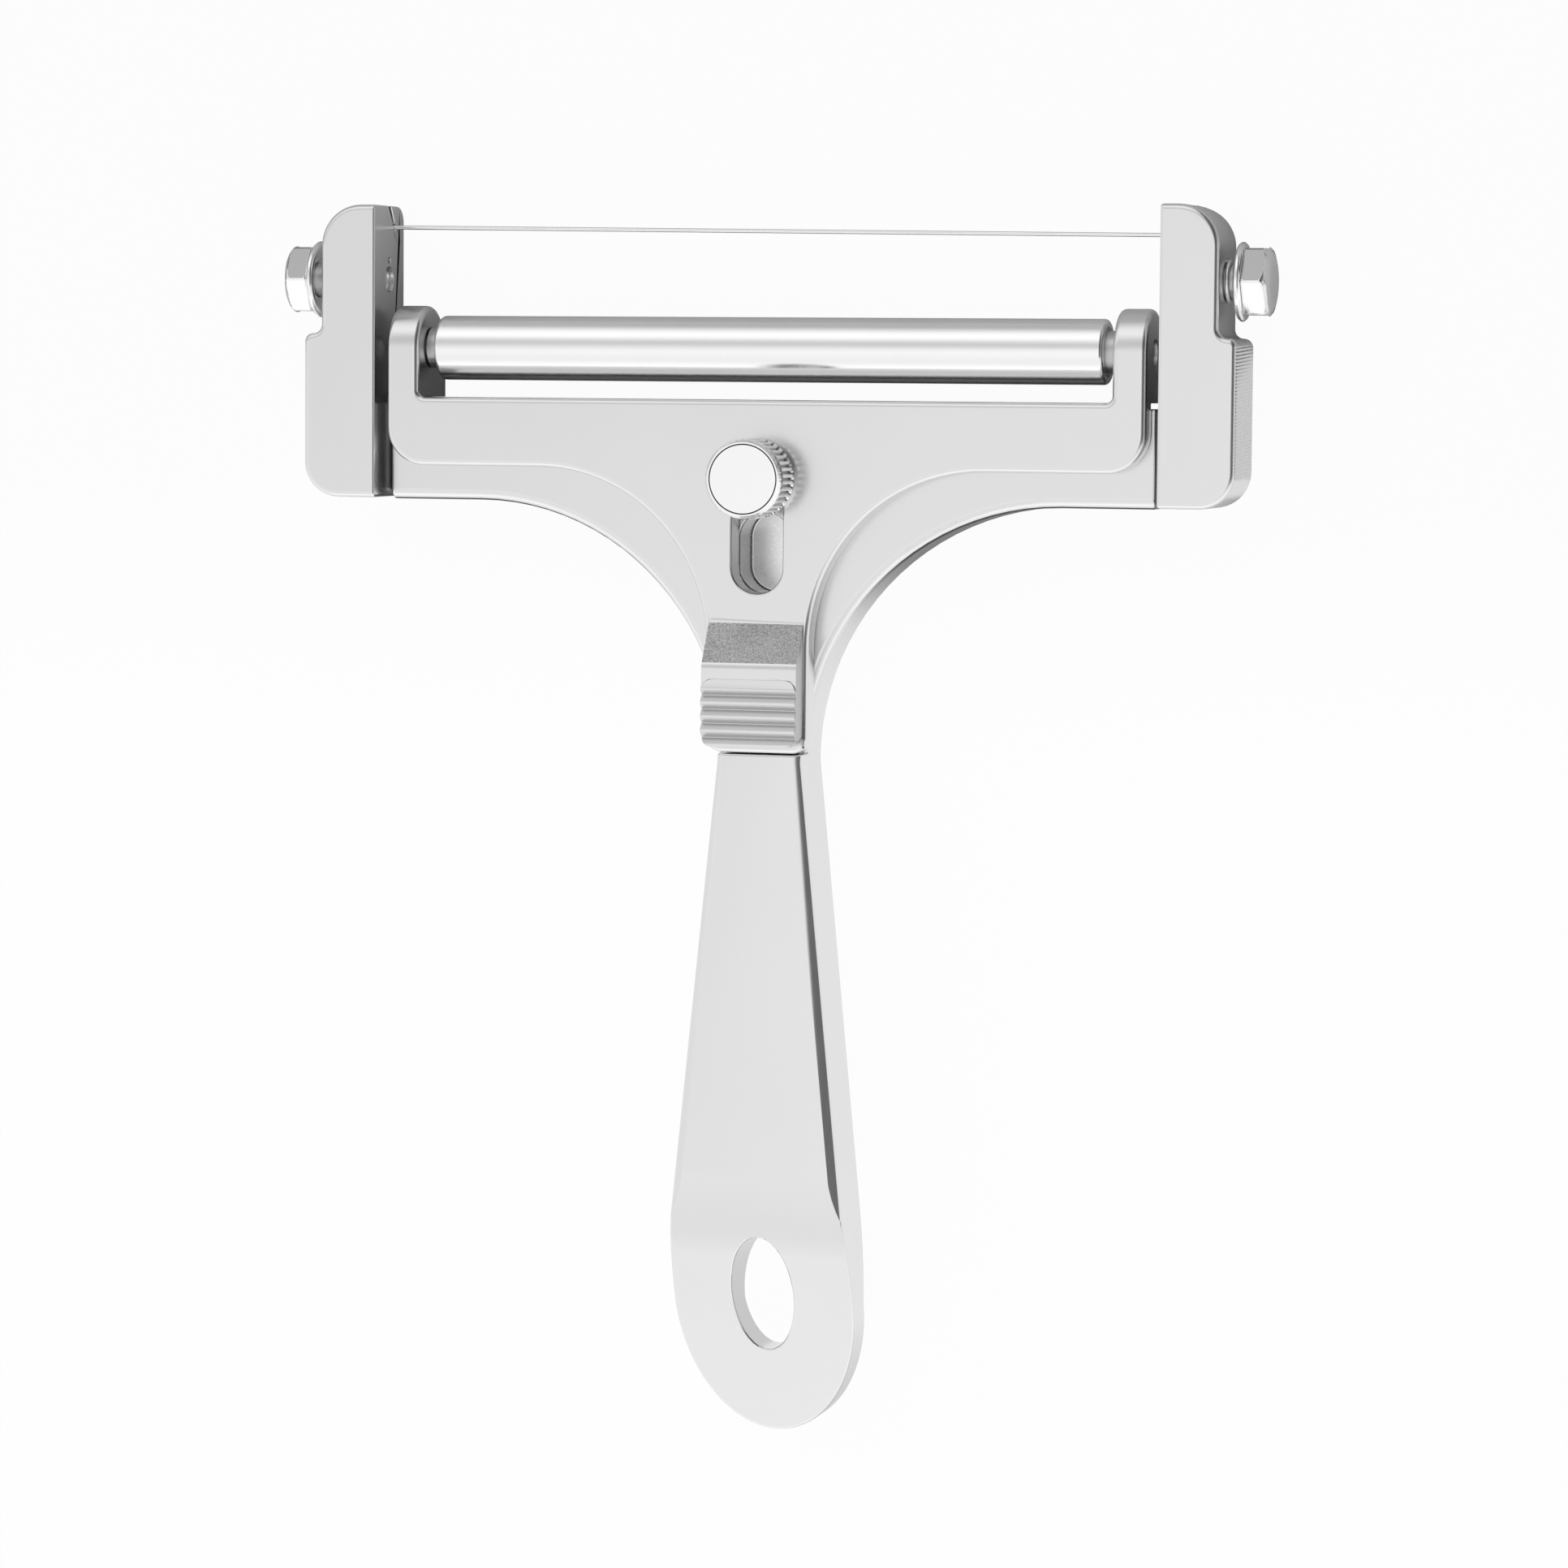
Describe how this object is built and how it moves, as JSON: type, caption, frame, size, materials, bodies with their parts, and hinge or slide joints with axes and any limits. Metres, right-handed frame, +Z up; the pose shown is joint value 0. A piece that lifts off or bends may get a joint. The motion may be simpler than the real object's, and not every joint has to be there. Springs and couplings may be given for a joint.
{
  "type": "cheese slicer",
  "caption": "Wire cheese slicer with an arched cast frame and handle, a roller on a sliding carriage, a knurled clamp screw and hex screws that tighten the wire at the arms.",
  "frame": {"origin": "bottom centre of the bounding box, in the plane that the slicer rests on when it lies on its back", "axes": "+Y runs from the tip of the handle towards the cutting wire, +Z points up out of the front of the slicer, and X runs along the wire"},
  "size_m": [0.1228, 0.1506, 0.0181],
  "materials": {
    "casting": "satin",
    "polished_steel": "polished",
    "plated_steel": "satin",
    "plain_steel": "turned",
    "wire_steel": "drawn"
  },
  "bodies": {
    "frame": {"frame_casting": "casting", "clamp_nut": "plain_steel", "cutting_wire": "wire_steel", "wire_collar_left": "plain_steel", "wire_collar_right": "plain_steel"},
    "carriage": {"carriage_casting": "casting", "roller_axle": "plain_steel"},
    "roller": {"roller_tube": "polished_steel", "roller_bush_left": "plain_steel", "roller_bush_right": "plain_steel"},
    "clamp_pad": {"clamp_washer": "plain_steel"},
    "clamp_screw": {"clamp_knob": "plated_steel", "clamp_stud": "plain_steel"},
    "tension_pad_left": {"tension_washer_left": "plated_steel"},
    "tension_turn_left": {"tension_screw_left": "plated_steel"},
    "tension_pad_right": {"tension_washer_right": "plated_steel"},
    "tension_turn_right": {"tension_screw_right": "plated_steel"}
  },
  "joints": [
    {"name": "carriage_slide", "type": "slide", "parent": "frame", "child": "carriage", "axis": [0, 0.9991, -0.0423], "range_m": [0, 0.0084]},
    {"name": "roller_spin", "type": "hinge", "parent": "carriage", "child": "roller", "pos_m": [0, 0.05778, 0.00589], "axis": [1, 0, 0], "continuous": true},
    {"name": "clamp_travel", "type": "slide", "parent": "frame", "child": "clamp_pad", "axis": [0, 0.0423, 0.9991], "range_m": [0, 0.00105]},
    {"name": "clamp_turn", "type": "hinge", "parent": "clamp_pad", "child": "clamp_screw", "pos_m": [0, 0.04269, 0.01229], "axis": [0, 0.0423, 0.9991], "range_deg": [0, 540]},
    {"name": "tension_travel_left", "type": "slide", "parent": "frame", "child": "tension_pad_left", "axis": [-1, 0, 0], "range_m": [0, 0.0005]},
    {"name": "tension_turn_left", "type": "hinge", "parent": "tension_pad_left", "child": "tension_turn_left", "pos_m": [-0.058, 0.06607, 0.00549], "axis": [-1, 0, 0], "range_deg": [0, 360]},
    {"name": "tension_travel_right", "type": "slide", "parent": "frame", "child": "tension_pad_right", "axis": [1, 0, 0], "range_m": [0, 0.0005]},
    {"name": "tension_turn_right", "type": "hinge", "parent": "tension_pad_right", "child": "tension_turn_right", "pos_m": [0.058, 0.06607, 0.00549], "axis": [1, 0, 0], "range_deg": [0, 360]}
  ],
  "couplings": [
    {"joint": "clamp_turn", "follows": "clamp_travel", "rad_per_m": 8975.9},
    {"joint": "tension_turn_left", "follows": "tension_travel_left", "rad_per_m": 12566},
    {"joint": "tension_turn_right", "follows": "tension_travel_right", "rad_per_m": 12566}
  ]
}
